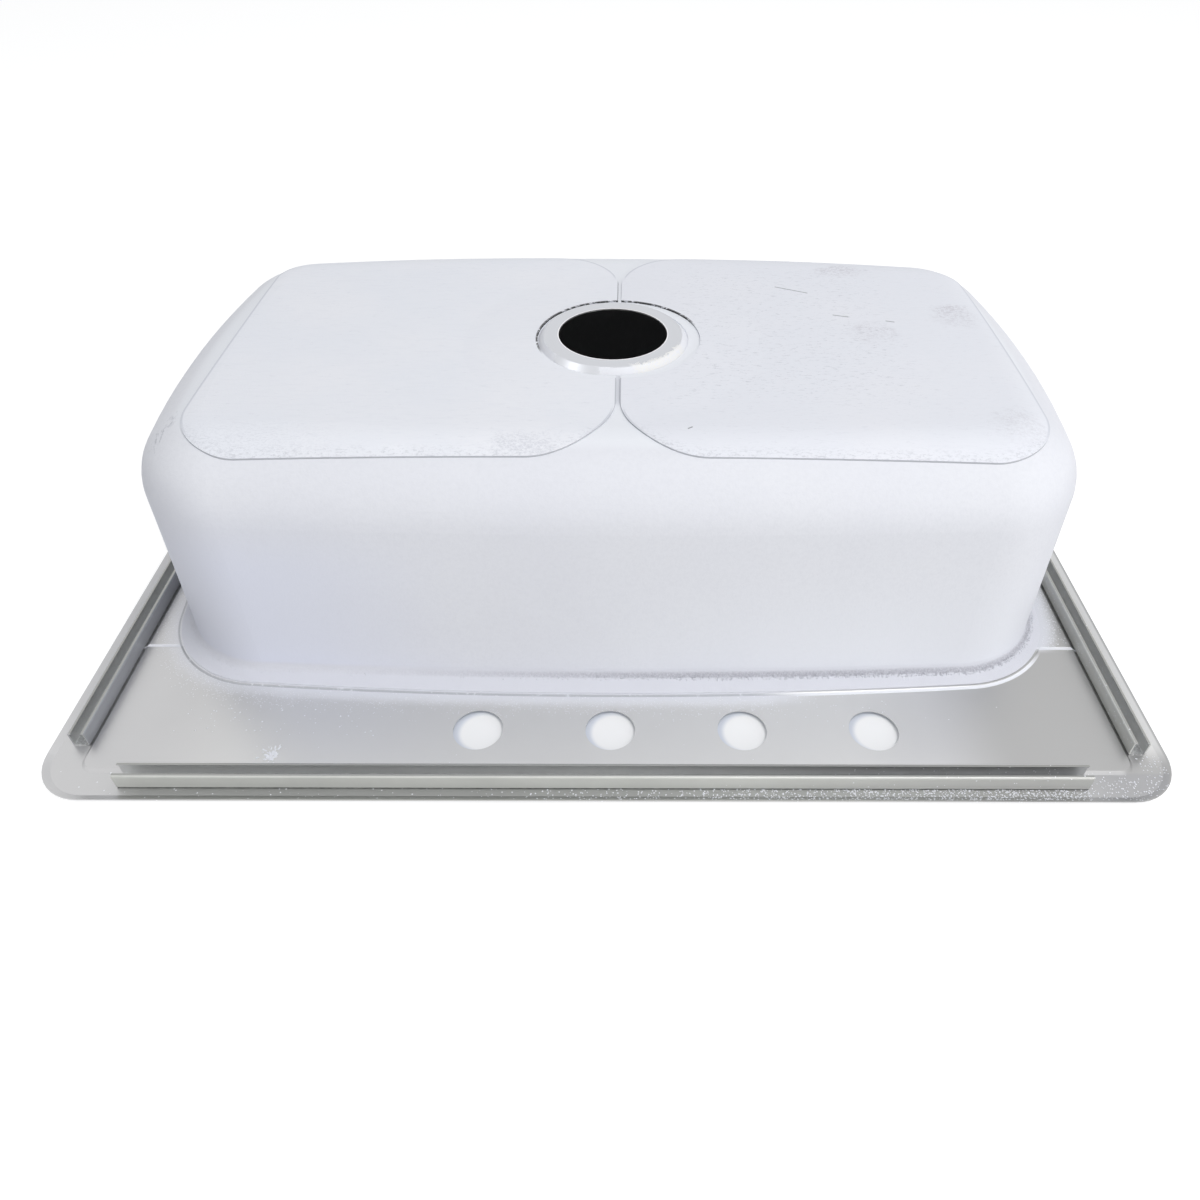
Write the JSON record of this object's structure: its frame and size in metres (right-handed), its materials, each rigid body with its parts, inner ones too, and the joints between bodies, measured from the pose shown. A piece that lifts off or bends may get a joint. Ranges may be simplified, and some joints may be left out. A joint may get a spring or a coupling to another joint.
{
  "type": "drop-in kitchen sink",
  "caption": "Single-bowl stainless drop-in sink with a stepped tap ledge, sprayed underside, sound pads and clip rails, stored upside down on its rim.",
  "frame": {"origin": "on the floor under the middle of the rim, with the sink lying upside down on its rim as it is stored and pictured", "axes": "+X to the right along the rim with the tap ledge nearest, +Y from the tap ledge to the front edge, +Z from the rim to the bowl's bottom, which is down in use: to install, turn it half a turn about X"},
  "size_m": [0.8382, 0.5588, 0.2096],
  "materials": {
    "stainless_sheet": "fine brushed, semi-glossy",
    "rail_steel": "mill, semi-glossy",
    "sprayed_undercoat": "fine sprayed grain, matte",
    "sound_pad": "matte with scuffs"
  },
  "bodies": {
    "root": {"sink_pressing": "stainless_sheet", "undercoat": "sprayed_undercoat", "left_sound_pad": "sound_pad", "right_sound_pad": "sound_pad", "rear_clip_rail": "rail_steel", "front_clip_rail": "rail_steel", "left_clip_rail": "rail_steel", "right_clip_rail": "rail_steel"}
  },
  "joints": []
}
